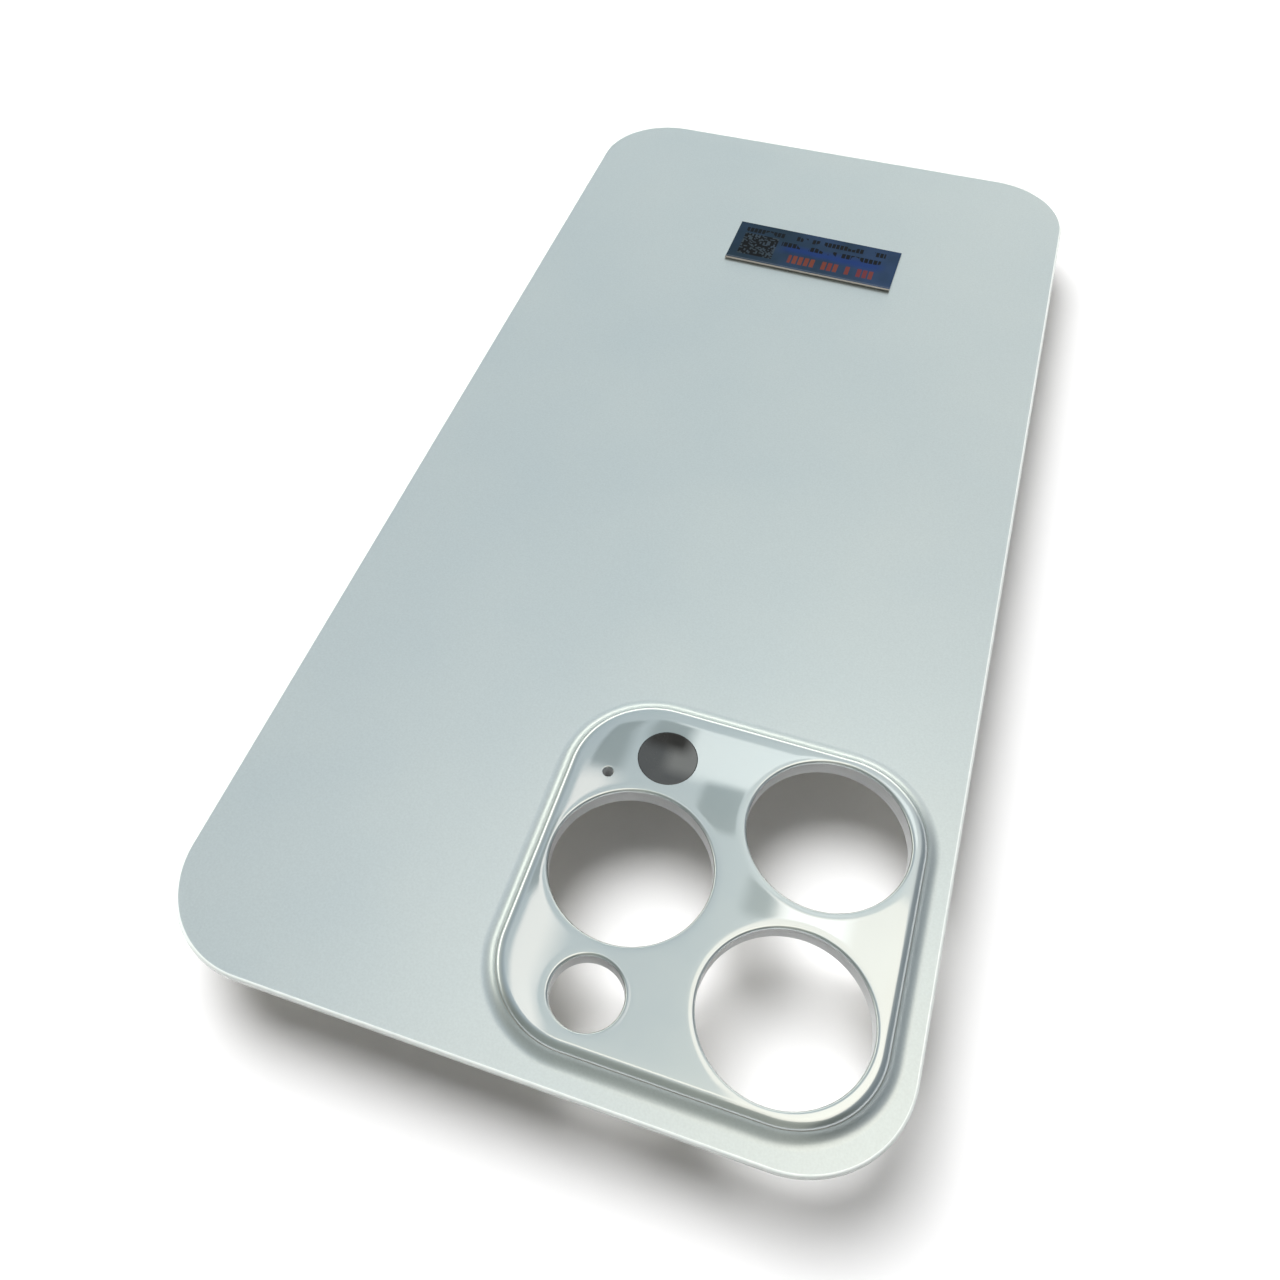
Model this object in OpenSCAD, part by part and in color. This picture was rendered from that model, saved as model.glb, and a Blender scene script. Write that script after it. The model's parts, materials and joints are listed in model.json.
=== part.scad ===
// Rear glass panel of a large triple-camera phone: one pane of glass with a raised camera
// plateau, the silver decorative film laminated under it, the sensor window, the microphone
// mesh, the die-cut adhesive with its split release liner, and a stock label on the face.
//
// Frame: millimetres, origin at the middle of the lowest face, +Z out of the outer face,
// +Y along the panel away from the camera end, +X towards the side the cameras sit on.

/* [Panel] */
// Width of the glass across X
panel_w = 75; // [62:0.5:92]
// Length of the glass along Y
panel_l = 156.5; // [130:0.5:190]
// Corner radius of the outline, seen from above
panel_corner_r = 11.2; // [6:0.1:14]
// Thickness of the flat sheet
sheet_t = 0.8; // [0.6:0.05:1.2]
// Radius of the polished round along the upper edge
rim_r = 0.35; // [0.1:0.05:0.4]
// Chamfer along the lower edge
foot_chamfer = 0.12; // [0.05:0.01:0.15]

/* [Camera plateau] */
// Width of the plateau's foot across X
plateau_w = 41; // [40:0.1:48]
// Length of the plateau's foot along Y
plateau_l = 41.7; // [40:0.1:50]
// Corner radius of the plateau's foot
plateau_corner_r = 10.8; // [6:0.1:13]
// Height of the plateau above the sheet
plateau_rise = 1.6; // [1.3:0.05:2.4]
// Gap from the plateau's foot to the panel's side edge
plateau_side_gap = 1.5; // [1:0.05:8]
// Gap from the plateau's foot to the panel's end edge
plateau_end_gap = 1.75; // [1:0.05:8]
// Steepest slope of the plateau's side, in degrees
wall_slope = 60; // [45:1:75]
// Radius of the hollow where the side runs out into the sheet
fillet_r = 1.85; // [0.8:0.05:2]
// Radius of the polished shoulder at the top of the side
shoulder_r = 1.3; // [0.4:0.05:1.5]

/* [Camera openings] */
// Radius of each lens bore
lens_r = 8.3; // [6.5:0.05:8.8]
// Half the distance across X between the lens on the inner side and the outer pair
lens_half_x = 9; // [8.9:0.05:10]
// Half the distance along Y between the outer pair of lenses
lens_half_y = 9.58; // [9.2:0.02:10.6]
// Radius of the flash bore
flash_r = 3.6; // [2:0.05:3.8]
// Distance of the flash bore from the plateau's middle, towards the end edge
flash_y = 13.5; // [13:0.1:14]
// Radius of the sensor window
sensor_r = 3.15; // [2:0.05:3.4]
// Distance of the sensor window from the plateau's middle, away from the end edge
sensor_y = 12.8; // [12.4:0.1:14]
// Radius of the microphone hole
mic_r = 0.55; // [0.3:0.05:0.7]
// Distance of the microphone hole across X from the plateau's middle
mic_x = 14.5; // [14:0.1:15.4]
// Distance of the microphone hole along Y from the plateau's middle
mic_y = 9.3; // [8.8:0.05:10]
// Polished chamfer at the outer end of the lens and flash bores
bore_lip = 0.35; // [0.1:0.05:0.4]
// Chamfer at the inner end of every bore, and at both ends of the microphone hole
bore_chamfer = 0.15; // [0.05:0.01:0.2]

/* [Sensor window and microphone mesh] */
// Thickness of the sensor window
window_t = 1; // [0.6:0.05:1.2]
// Width of the ledge that the sensor window sits on
window_ledge = 0.7; // [0.5:0.05:1]
// Radial clearance round the sensor window
window_gap = 0.04; // [0.02:0.01:0.08]
// Thickness of the adhesive ring under the sensor window
window_adhesive_t = 0.1; // [0.05:0.01:0.15]
// Radius of the microphone mesh
mesh_r = 1.2; // [1:0.05:1.3]

/* [Film, adhesive and liner] */
// Thickness of the clear adhesive between glass and film
film_adhesive_t = 0.05; // [0.03:0.01:0.1]
// Thickness of the silver decorative film
film_t = 0.1; // [0.05:0.01:0.2]
// Thickness of the die-cut mounting adhesive
adhesive_t = 0.1; // [0.05:0.01:0.3]
// Thickness of the release liner
liner_t = 0.1; // [0.05:0.01:0.2]
// How far the film stays inside the glass outline
film_inset = 0.4; // [0.2:0.05:1]
// How far the mounting adhesive stays inside the glass outline
adhesive_inset = 1; // [0.6:0.05:2]
// How far the liner stays inside the glass outline
liner_inset = 0.7; // [0.4:0.05:1.5]
// Clearance of the film round each opening
film_hole_gap = 0.2; // [0.1:0.05:0.3]
// Clearance of the mounting adhesive and its liner round each opening
adhesive_hole_gap = 0.4; // [0.3:0.05:0.45]
// Width of the slit between the two areas of mounting adhesive and of liner
split_gap = 0.4; // [0.2:0.05:1]

/* [Label] */
// Length of the label across X
label_w = 25.3; // [15:0.1:40]
// Width of the label along Y
label_l = 9.9; // [6:0.1:20]
// Distance of the label's middle from the panel's middle, across X
label_x = 2.1; // [-10:0.05:10]
// Distance of the label's middle from the far end of the panel
label_end_gap = 28.85; // [15:0.05:50]
// Turn of the label, in degrees
label_turn = -1.4; // [-3:0.1:3]
// Thickness of the label film
label_t = 0.1; // [0.05:0.01:0.15]
// Thickness of the label's adhesive
label_adhesive_t = 0.05; // [0.03:0.01:0.1]

/* [Hidden] */
$fn = 96;

// Overlap by which solids of one piece run into each other, and cuts run past a face
lap = 0.5;
// Depth of the swept edge strips, inwards from an outline
rim_depth = 1;
// Straight steps that one rounded corner of a cross-section is drawn with
arc_steps = 6;

// Heights of the layers, from the face the panel lies on
adhesive_z = liner_t;
film_z = adhesive_z + adhesive_t;
film_adhesive_z = film_z + film_t;
glass_z = film_adhesive_z + film_adhesive_t;
sheet_z = glass_z + sheet_t;
top_z = sheet_z + plateau_rise;
window_z = top_z - window_t;
ledge_z = window_z - window_adhesive_t;

// Middle of the plateau
plateau_x = panel_w / 2 - plateau_side_gap - plateau_w / 2;
plateau_y = plateau_l / 2 + plateau_end_gap - panel_l / 2;

// The side of the plateau: hollow, straight slope, round shoulder. The radii shrink together
// where the rise is too low to hold both
arc_rise = 1 - cos(wall_slope);
radius_scale = min(1, 0.98 * plateau_rise / ((fillet_r + shoulder_r) * arc_rise));
hollow_r = fillet_r * radius_scale;
crown_r = shoulder_r * radius_scale;
slope_rise = plateau_rise - (hollow_r + crown_r) * arc_rise;
side_run = (hollow_r + crown_r) * sin(wall_slope) + slope_rise / tan(wall_slope);

// Places of the openings: [x, y, radius]
lens_places = [[plateau_x - lens_half_x, plateau_y, lens_r],
               [plateau_x + lens_half_x, plateau_y + lens_half_y, lens_r],
               [plateau_x + lens_half_x, plateau_y - lens_half_y, lens_r]];
flash_place = [plateau_x - lens_half_x, plateau_y - flash_y, flash_r];
sensor_place = [plateau_x - lens_half_x, plateau_y + sensor_y, sensor_r];
mic_place = [plateau_x - mic_x, plateau_y + mic_y, mic_r];
ledge_r = sensor_r - window_ledge;
mesh_place = [mic_place[0], mic_place[1], mesh_r];
through_bores = concat(lens_places, [flash_place]);

// Line across the panel where the adhesive and the liner are slit
split_y = plateau_y + plateau_l / 2 + 2;

// Colours
glass_colour = [0.76, 0.8, 0.8];
film_colour = [0.72, 0.75, 0.76];
dark_colour = [0.13, 0.14, 0.15];
tape_colour = [0.2, 0.2, 0.21];
clear_colour = [0.88, 0.89, 0.86];
liner_colour = [0.86, 0.85, 0.8];
label_colour = [0.25, 0.3, 0.38];

// Points along an arc round c
function arc_points(c, r, from, to) =
    [for (i = [0:arc_steps]) let (a = from + (to - from) * i / arc_steps) c + r * [cos(a), sin(a)]];

// Rectangle with round corners, centred
module round_rect(w, l, r) {
    square([w - 2 * r, l], center = true);
    square([w, l - 2 * r], center = true);
    for (sx = [-1, 1], sy = [-1, 1])
        translate([sx * (w / 2 - r), sy * (l / 2 - r)])
            circle(r);
}

// Plate with a round-cornered outline, standing on z
module plate(w, l, r, z, t) {
    translate([0, 0, z])
        linear_extrude(t)
            round_rect(w, l, r);
}

// Carries a cross-section once round the outline of round_rect(w, l, r). In the cross-section
// x = 0 is the outline, negative x is inside it, and y is the height
module sweep_outline(w, l, r) {
    for (corner = [[1, 1, 0], [-1, 1, 90], [-1, -1, 180], [1, -1, 270]])
        translate([corner[0] * (w / 2 - r), corner[1] * (l / 2 - r), 0])
            rotate([0, 0, corner[2]])
                rotate_extrude(angle = 90)
                    translate([r, 0])
                        children();
    for (turn = [0, 180]) {
        rotate([0, 0, turn])
            translate([w / 2, l / 2 - r, 0])
                rotate([90, 0, 0])
                    linear_extrude(l - 2 * r)
                        children();
        rotate([0, 0, turn + 90])
            translate([l / 2, w / 2 - r, 0])
                rotate([90, 0, 0])
                    linear_extrude(w - 2 * r)
                        children();
    }
}

// Straight-walled cut through everything between two heights
module cut(place, z0, z1) {
    translate([place[0], place[1], z0])
        cylinder(r = place[2], h = z1 - z0);
}

// Cone that breaks the edge of a bore by width, running down into it (way 1) or up (way -1)
module edge_break(place, z, way, width) {
    translate([place[0], place[1], z])
        mirror([0, 0, way > 0 ? 1 : 0])
            translate([0, 0, -lap])
                cylinder(r1 = place[2] + width + lap, r2 = place[2] - lap, h = width + 2 * lap);
}

// Through bore in the glass with both edges broken
module glass_bore(place, outer_break) {
    cut(place, glass_z - lap, top_z + lap);
    edge_break(place, glass_z, -1, bore_chamfer);
    edge_break(place, top_z, 1, outer_break);
}

// Flat sheet of the pane: a core, and the polished edge swept round it
module pane_sheet() {
    plate(panel_w - 2 * rim_depth, panel_l - 2 * rim_depth, panel_corner_r - rim_depth, glass_z, sheet_t);
    sweep_outline(panel_w, panel_l, panel_corner_r)
        translate([0, glass_z])
            polygon(concat([[-rim_depth - lap, 0], [-foot_chamfer, 0], [0, foot_chamfer]],
                           arc_points([-rim_r, sheet_t - rim_r], rim_r, 0, 90),
                           [[-rim_depth - lap, sheet_t]]));
}

// Raised plateau: a core up to its flat top, and the hollow side swept round it
module pane_plateau() {
    core_w = plateau_w - 2 * side_run;
    core_l = plateau_l - 2 * side_run;
    foot = lap / 2;
    translate([plateau_x, plateau_y, 0]) {
        plate(core_w, core_l, plateau_corner_r - side_run, sheet_z - foot, plateau_rise + foot);
        sweep_outline(plateau_w, plateau_l, plateau_corner_r)
            translate([0, sheet_z])
                polygon(concat([[-side_run - lap, -foot], [0, -foot]],
                               arc_points([0, hollow_r], hollow_r, 270, 270 - wall_slope),
                               arc_points([-side_run, plateau_rise - crown_r], crown_r, 90 - wall_slope, 90),
                               [[-side_run - lap, plateau_rise]]));
    }
}

// The pane itself, one piece of glass
module cover_glass() {
    color(glass_colour)
        difference() {
            union() {
                pane_sheet();
                pane_plateau();
            }
            for (place = through_bores)
                glass_bore(place, bore_lip);
            glass_bore(mic_place, bore_chamfer);
            cut([sensor_place[0], sensor_place[1], sensor_r + window_gap], ledge_z, top_z + lap);
            cut([sensor_place[0], sensor_place[1], ledge_r], glass_z - lap, ledge_z + lap);
        }
}

// A die-cut layer under the glass: an outline inside the pane's, with holes round the openings
module layer(inset, hole_gap, z, t) {
    difference() {
        plate(panel_w - 2 * inset, panel_l - 2 * inset, panel_corner_r - inset, z, t);
        for (place = concat(through_bores, [sensor_place]))
            cut(place + [0, 0, hole_gap], z - lap, z + t + lap);
        cut(mesh_place + [0, 0, hole_gap], z - lap, z + t + lap);
    }
}

// The part of a layer on one side of the slit: +1 is the long side, -1 the camera end
module split_layer(inset, z, t, side) {
    intersection() {
        layer(inset, adhesive_hole_gap, z, t);
        translate([-panel_w / 2, side > 0 ? split_y + split_gap / 2 : split_y - split_gap / 2 - panel_l, z - lap])
            cube([panel_w, panel_l, t + 2 * lap]);
    }
}

// Clear adhesive that laminates the film to the glass
module film_adhesive() {
    color(clear_colour)
        layer(film_inset, film_hole_gap, film_adhesive_z, film_adhesive_t);
}

// Metallised film that gives the panel its silver colour
module decor_film() {
    color(film_colour)
        layer(film_inset, film_hole_gap, film_z, film_t);
}

// Dark window over the depth sensor, flush with the plateau's top
module sensor_window() {
    color(dark_colour)
        cut(sensor_place, window_z, top_z);
}

// Ring of adhesive between the ledge and the sensor window
module sensor_window_adhesive() {
    color(tape_colour)
        difference() {
            cut(sensor_place, ledge_z, window_z);
            cut([sensor_place[0], sensor_place[1], ledge_r], ledge_z - lap, window_z + lap);
        }
}

// Acoustic mesh under the microphone hole, as thick as the film beside it
module mic_mesh() {
    color(tape_colour)
        cut(mesh_place, film_z, film_adhesive_z);
}

// Ring of adhesive between the glass and the microphone mesh
module mic_mesh_adhesive() {
    color(clear_colour)
        difference() {
            cut(mesh_place, film_adhesive_z, glass_z);
            cut(mic_place + [0, 0, bore_chamfer], film_adhesive_z - lap, glass_z + lap);
        }
}

// Mounting adhesive over the long part of the panel
module panel_adhesive() {
    color(tape_colour)
        split_layer(adhesive_inset, adhesive_z, adhesive_t, 1);
}

// Mounting adhesive round the camera openings
module camera_adhesive() {
    color(tape_colour)
        split_layer(adhesive_inset, adhesive_z, adhesive_t, -1);
}

// Release liner over the long part of the panel
module panel_liner() {
    color(liner_colour)
        split_layer(liner_inset, 0, liner_t, 1);
}

// Release liner over the camera end
module camera_liner() {
    color(liner_colour)
        split_layer(liner_inset, 0, liner_t, -1);
}

// Rectangle of label stock on the outer face
module label_layer(z, t) {
    translate([label_x, panel_l / 2 - label_end_gap, z])
        rotate([0, 0, label_turn])
            translate([-label_w / 2, -label_l / 2, 0])
                cube([label_w, label_l, t]);
}

// Holographic stock label
module label_film() {
    color(label_colour)
        label_layer(sheet_z + label_adhesive_t, label_t);
}

// Adhesive under the stock label
module label_adhesive() {
    color(clear_colour)
        label_layer(sheet_z, label_adhesive_t);
}

cover_glass();
film_adhesive();
decor_film();
sensor_window();
sensor_window_adhesive();
mic_mesh();
mic_mesh_adhesive();
panel_adhesive();
camera_adhesive();
panel_liner();
camera_liner();
label_film();
label_adhesive();
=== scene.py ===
"""Looks of a phone's rear glass panel: silver-backed pane with a polished camera plateau,
sensor window, microphone mesh, stock label, and the film, adhesive and liner under it."""

import json

import bpy
import numpy as np
from mathutils import Matrix, Vector
from mathutils.geometry import delaunay_2d_cdt


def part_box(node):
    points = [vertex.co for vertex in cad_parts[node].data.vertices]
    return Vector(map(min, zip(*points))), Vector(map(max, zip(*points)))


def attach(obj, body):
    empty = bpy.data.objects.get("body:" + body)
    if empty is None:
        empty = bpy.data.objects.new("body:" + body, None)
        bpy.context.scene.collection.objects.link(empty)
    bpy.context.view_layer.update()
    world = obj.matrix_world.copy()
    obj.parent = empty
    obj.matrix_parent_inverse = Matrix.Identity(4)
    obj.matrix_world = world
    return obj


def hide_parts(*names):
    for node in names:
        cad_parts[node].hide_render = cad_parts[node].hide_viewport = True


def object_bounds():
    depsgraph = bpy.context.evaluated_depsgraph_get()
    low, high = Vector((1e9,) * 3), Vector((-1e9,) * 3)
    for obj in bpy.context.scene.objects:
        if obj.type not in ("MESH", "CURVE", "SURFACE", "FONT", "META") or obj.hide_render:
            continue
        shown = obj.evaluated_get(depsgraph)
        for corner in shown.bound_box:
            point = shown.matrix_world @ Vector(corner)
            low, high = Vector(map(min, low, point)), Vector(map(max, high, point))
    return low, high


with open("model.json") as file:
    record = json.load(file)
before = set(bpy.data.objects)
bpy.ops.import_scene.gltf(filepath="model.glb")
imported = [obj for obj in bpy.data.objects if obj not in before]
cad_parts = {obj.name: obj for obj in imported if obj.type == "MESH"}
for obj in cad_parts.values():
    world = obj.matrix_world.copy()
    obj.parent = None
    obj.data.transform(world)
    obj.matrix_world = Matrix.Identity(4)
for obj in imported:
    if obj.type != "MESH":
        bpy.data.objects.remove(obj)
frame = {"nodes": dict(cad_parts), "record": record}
cad_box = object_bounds()

MM = 0.001
UP = np.array([0.0, 0.0, 1.0])

# ---------------------------------------------------------------- sizes, in millimetres
CORNER_R = 11.2            # outline of the pane
SHEET_T = 0.8              # flat sheet
RIM_R = 0.35               # polished round on the upper edge
FOOT_CHAMFER = 0.12        # lower edge
PLATEAU_W = 41.0           # foot of the camera plateau
PLATEAU_L = 41.7
PLATEAU_CORNER_R = 10.8
SIDE_RUN = 2.6             # from the plateau's foot to the edge of its polished top
FILLET_R = 1.85            # etched hollow at the plateau's foot
ETCH_LINE = 0.12           # width of the line above it, where the etch resist ended
CROWN_WIDTH = 2.2          # the polished top falls away a little over this width
CROWN_DROP = 0.03
PILLOW_WIDTH = 0.8         # and again round each opening, where polishing wears the edge
PILLOW_DROP = 0.02
PILLOW_FADE = 1.2          # this wear fades out over so much at the edge of the top
LIP_R = 0.35               # polished round at the outer end of the lens and flash bores
BORE_BREAK = 0.15          # edge break at the inner end, and at the microphone hole
WINDOW_GAP = 0.04          # round the sensor window
WINDOW_LEDGE = 0.7         # width of the ledge under it
WINDOW_SEAT = 1.1          # depth of the seat that the sensor window lies in
WINDOW_EDGE = 0.06         # polished edge of the sensor window
MIC_R = 0.55               # microphone hole
WEAVE_PITCH = 0.2          # drawn coarser than the real mesh, which has 0.05
WEAVE_RISE = 0.012         # height of its threads over their mean
UNDERSIDE_LIFT = 0.01      # keeps the pane's lower face off the film's adhesive
LABEL_W, LABEL_L = 25.3, 9.9
LABEL_TURN = np.radians(-1.4)
LABEL_LIFT = 0.22          # how far the near edge of the label has come up
LABEL_REACH = 0.9          # and over what distance this dies away
LABEL_SPAN = 30.0          # millimetres in one unit of the label's UV map
FLOOR_GAP = 7.6            # clear height of the panel over the floor


def box_mm(node):
    """Lowest and highest corner of a CAD node, in millimetres."""
    low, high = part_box(node)
    return np.array(low) / MM, np.array(high) / MM


def middle_and_radius(node):
    """Middle and radius of an upright round CAD node."""
    low, high = box_mm(node)
    return (low + high)[:2] / 2, (high - low)[0] / 2


glass_low, glass_high = box_mm("cover_glass")
PANEL_W, PANEL_L = (glass_high - glass_low)[:2]
SHEET_Z = glass_low[2] + SHEET_T
TOP_Z = glass_high[2]
BACK_Z = glass_low[2] + UNDERSIDE_LIFT
mounts = {m["name"]: m for m in frame["record"]["mounts"]}
bores = [(np.array(m["pos_m"][:2]) / MM, m["dims"]["r_mm"]) for m in mounts.values() if m["kind"] == "bore"]
lens_inner = np.array(mounts["lens_bore_inner"]["pos_m"][:2]) / MM
lens_outer = np.array(mounts["lens_bore_outer_far"]["pos_m"][:2]) / MM
PLATEAU_AT = np.array([(lens_inner[0] + lens_outer[0]) / 2, lens_inner[1]])
FLAT_W, FLAT_L, FLAT_R = PLATEAU_W - 2 * SIDE_RUN, PLATEAU_L - 2 * SIDE_RUN, PLATEAU_CORNER_R - SIDE_RUN
sensor_at, sensor_r = middle_and_radius("sensor_window")
mic_at, mesh_r = middle_and_radius("mic_mesh")
label_low, label_high = box_mm("label_film")
label_at = (label_low + label_high)[:2] / 2
# Openings in the polished top: middle, radius of the straight wall, width of the lip round it
openings = [(at, r, LIP_R) for at, r in bores] + [(mic_at, MIC_R, BORE_BREAK)]


# ---------------------------------------------------------------- surfaces
def outline(w, l, r, at=(0, 0), arc=40, side=24):
    """Rectangle w by l with corners of radius r, anticlockwise: each corner is a quarter
    circle of `arc` steps, each side is `side` steps. Gives points and outward normals."""
    points, normals = [], []
    for k, (sx, sy) in enumerate([(1, 1), (-1, 1), (-1, -1), (1, -1)]):
        a = np.radians(90) * (k + np.arange(arc + 1) / arc)
        n = np.c_[np.cos(a), np.sin(a)]
        c = np.array([sx * (w / 2 - r), sy * (l / 2 - r)])
        last = c + r * n[-1]
        run = (l if k % 2 else w) - 2 * r
        way = np.array([-n[-1][1], n[-1][0]])
        s = np.arange(1, side)[:, None] / side
        points += [c + r * n, last + way * run * s]
        normals += [n, np.repeat(n[-1:], side - 1, 0)]
    return np.concatenate(points) + at, np.concatenate(normals)


def circle(at, r, steps):
    """Circle round at, anticlockwise. Gives points and outward normals."""
    a = 2 * np.pi * np.arange(steps) / steps
    n = np.c_[np.cos(a), np.sin(a)]
    return at + r * n, n


def arc(c, r, from_deg, to_deg, steps):
    """Cross-section points on an arc round c, with the arc's own normals: rows d, z, nd, nz."""
    a = np.radians(np.linspace(from_deg, to_deg, steps + 1))
    n = np.c_[np.cos(a), np.sin(a)]
    return np.c_[np.array(c) + r * n, n]


def line(p, q):
    """Cross-section of a straight stretch from p to q, its normal a quarter turn to the left."""
    p, q = np.array(p, float), np.array(q, float)
    d = (q - p) / np.linalg.norm(q - p)
    n = np.array([-d[1], d[0]])
    return np.array([[*p, *n], [*q, *n]])


def ring_quads(rows, n):
    """Quads of a grid of rows by n points whose rows close on themselves."""
    i = np.arange(rows - 1)[:, None] * n + np.arange(n)
    j = np.arange(rows - 1)[:, None] * n + (np.arange(n) + 1) % n
    return np.stack([i, j, j + n, i + n], -1).reshape(-1, 4)


def grid_quads(rows, cols):
    """Quads of an open grid."""
    i = (np.arange(rows - 1)[:, None] * cols + np.arange(cols - 1)).ravel()
    return np.stack([i, i + 1, i + cols + 1, i + cols], -1)


def sweep(points, normals, section, base=0.0):
    """Carries a cross-section round an outline: point = outline + d * normal, height = base + z,
    where base is one height or one for each point of the outline."""
    d, z, nd, nz = (section[:, k][:, None, None] for k in range(4))
    flat = points[None] + d * normals[None]
    high = np.broadcast_to(np.asarray(base).reshape(1, -1, 1) + z, flat.shape[:2] + (1,))
    v = np.concatenate([flat, high], -1)
    n = np.concatenate([nd * normals[None], np.broadcast_to(nz, high.shape)], -1)
    return v.reshape(-1, 3), n.reshape(-1, 3), ring_quads(len(section), len(points))


def wall(points, normals, top, bottom):
    """Upright wall of a hole, facing into it: each of top and bottom is one height or one for
    each point of the outline."""
    v, n, f = sweep(points, normals, np.array([[0, 0, -1, 0], [0, 1, -1, 0]]))
    v[:len(points), 2], v[len(points):, 2] = top, bottom
    return v, n, f


def level(points, z, up):
    """Points of a flat face at height z, with normals straight up (1) or down (-1)."""
    return np.c_[points, np.full(len(points), z)], np.tile(up * UP, (len(points), 1))


def from_edge(p):
    """Distance of points of the plateau's polished top from its edge: the box distance function
    with rounded corners."""
    q = np.abs(p - PLATEAU_AT) - (np.array([FLAT_W, FLAT_L]) / 2 - FLAT_R)
    corner = np.linalg.norm(np.maximum(q, 0), axis=1)
    return FLAT_R - np.where((q < 0).all(1), q.max(1), corner)


def top_height(p):
    """Height of the plateau's polished top. It is flat in the middle and falls by the cube of
    the way into the outer band, so that it meets the shoulder with a small slope. Round each
    opening it falls again by the cube of the nearness to the lip."""
    e = from_edge(p)
    z = TOP_Z - CROWN_DROP * np.maximum(1 - e / CROWN_WIDTH, 0) ** 3
    inner = np.clip(e / PILLOW_FADE, 0, 1)
    for at, r in bores:
        near = np.clip(1 - (np.linalg.norm(p - at, axis=1) - r - LIP_R) / PILLOW_WIDTH, 0, 1)
        z = z - PILLOW_DROP * near ** 3 * inner ** 2 * (3 - 2 * inner)
    return z


def crown(p):
    """Height and normal of the polished top: the normal comes from central differences."""
    step = 0.002
    slope = [(top_height(p + d) - top_height(p - d)) / (2 * step) for d in np.eye(2) * step]
    n = np.stack([-slope[0], -slope[1], np.ones(len(p))], 1)
    return top_height(p), n / np.linalg.norm(n, axis=1)[:, None]


def inside(points, loop):
    """Even-odd rule: true where a ray from the point crosses the closed outline an odd number
    of times."""
    (x, y), (ax, ay), (bx, by) = points.T[:, :, None], loop.T, np.roll(loop, -1, 0).T
    rise = np.where(by == ay, 1.0, by - ay)
    crosses = ((ay > y) != (by > y)) & (x < (bx - ax) * (y - ay) / rise + ax)
    return crosses.sum(1) % 2 == 1


def fill(outer, holes=(), spread=None):
    """Triangles inside one outline and outside its holes: constrained Delaunay over them and
    any spread of inner points."""
    loops = [outer, *holes]
    flat = np.concatenate(loops + ([] if spread is None else [spread]))
    ends = np.cumsum([0] + [len(loop) for loop in loops])
    edges = [(int(a + i), int(a + (i + 1) % (b - a))) for a, b in zip(ends, ends[1:]) for i in range(b - a)]
    # 0 asks for every triangle of the hull. The points handed back are rounded and wouldn't meet
    # the outlines, so True asks for the number of the given point behind each of them
    out = delaunay_2d_cdt([Vector(p) for p in flat], edges, [], 0, 1e-7, True)
    points = np.array([flat[ids[0]] if ids else v[:] for v, ids in zip(out[0], out[3])])
    faces = np.array([f for f in out[2] if len(f) == 3])
    middle = points[faces].mean(1)
    kept = inside(middle, outer)
    for hole in holes:
        kept &= ~inside(middle, hole)
    return points, faces[kept]


class Shell:
    """Patches of one solid. They are merged where their points meet to 0.0001 mm, each face is
    turned to its patch's own normals, and those normals are kept for shading."""

    def __init__(self):
        self.parts, self.count = [], 0

    def add(self, surface, slot):
        """Keeps one patch, given as points, normals and faces, and its material's number."""
        v, n, f = surface
        tri = v[f[:, :3]]
        way = np.cross(tri[:, 1] - tri[:, 0], tri[:, 2] - tri[:, 0])
        flip = (way * n[f].mean(1)).sum(1) < 0
        f = np.where(flip[:, None], f[:, ::-1], f)
        self.parts.append((v, n, f + self.count, slot))
        self.count += len(v)

    def build(self, name, materials):
        """Merges the patches into one piece."""
        v = np.concatenate([p[0] for p in self.parts])
        n = np.concatenate([p[1] for p in self.parts])
        loops = np.concatenate([p[2].ravel() for p in self.parts])
        sizes = np.concatenate([np.full(len(p[2]), p[2].shape[1]) for p in self.parts])
        slots = np.concatenate([np.full(len(p[2]), p[3]) for p in self.parts])
        key = np.round(v * 1e4).astype(np.int64)
        _, first, place = np.unique(key, axis=0, return_index=True, return_inverse=True)
        return new_piece(name, v[first], place.ravel()[loops], sizes, materials, slots, n[loops])


def new_piece(name, verts, loops, sizes, materials, slots, corner_normals):
    """One object from arrays: points in millimetres, the point of each face corner, corners a
    face, each face's material and each face corner's normal."""
    me = bpy.data.meshes.new(name)
    me.vertices.add(len(verts))
    me.vertices.foreach_set("co", (np.asarray(verts) * MM).astype(np.float32).ravel())
    me.loops.add(len(loops))
    me.loops.foreach_set("vertex_index", np.asarray(loops, np.int32))
    me.polygons.add(len(sizes))
    me.polygons.foreach_set("loop_start", np.concatenate([[0], np.cumsum(sizes)[:-1]]).astype(np.int32))
    me.update(calc_edges=True)
    for m in materials:
        me.materials.append(m)
    me.polygons.foreach_set("material_index", np.asarray(slots, np.int32))
    me.polygons.foreach_set("use_smooth", np.ones(len(sizes), bool))
    me.normals_split_custom_set(np.asarray(corner_normals, np.float32).tolist())
    ob = bpy.data.objects.new(name, me)
    bpy.context.scene.collection.objects.link(ob)
    return ob


# ---------------------------------------------------------------- material tools
def colour(code):
    """sRGB hex to linear RGBA."""
    c = np.array([int(code[i:i + 2], 16) for i in (0, 2, 4)]) / 255
    return (*np.where(c <= 0.04045, c / 12.92, ((c + 0.055) / 1.055) ** 2.4), 1.0)


def per_mm(size):
    """Pattern scale, in repeats a metre, for a feature of so many millimetres."""
    return 1 / (size * MM)


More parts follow.
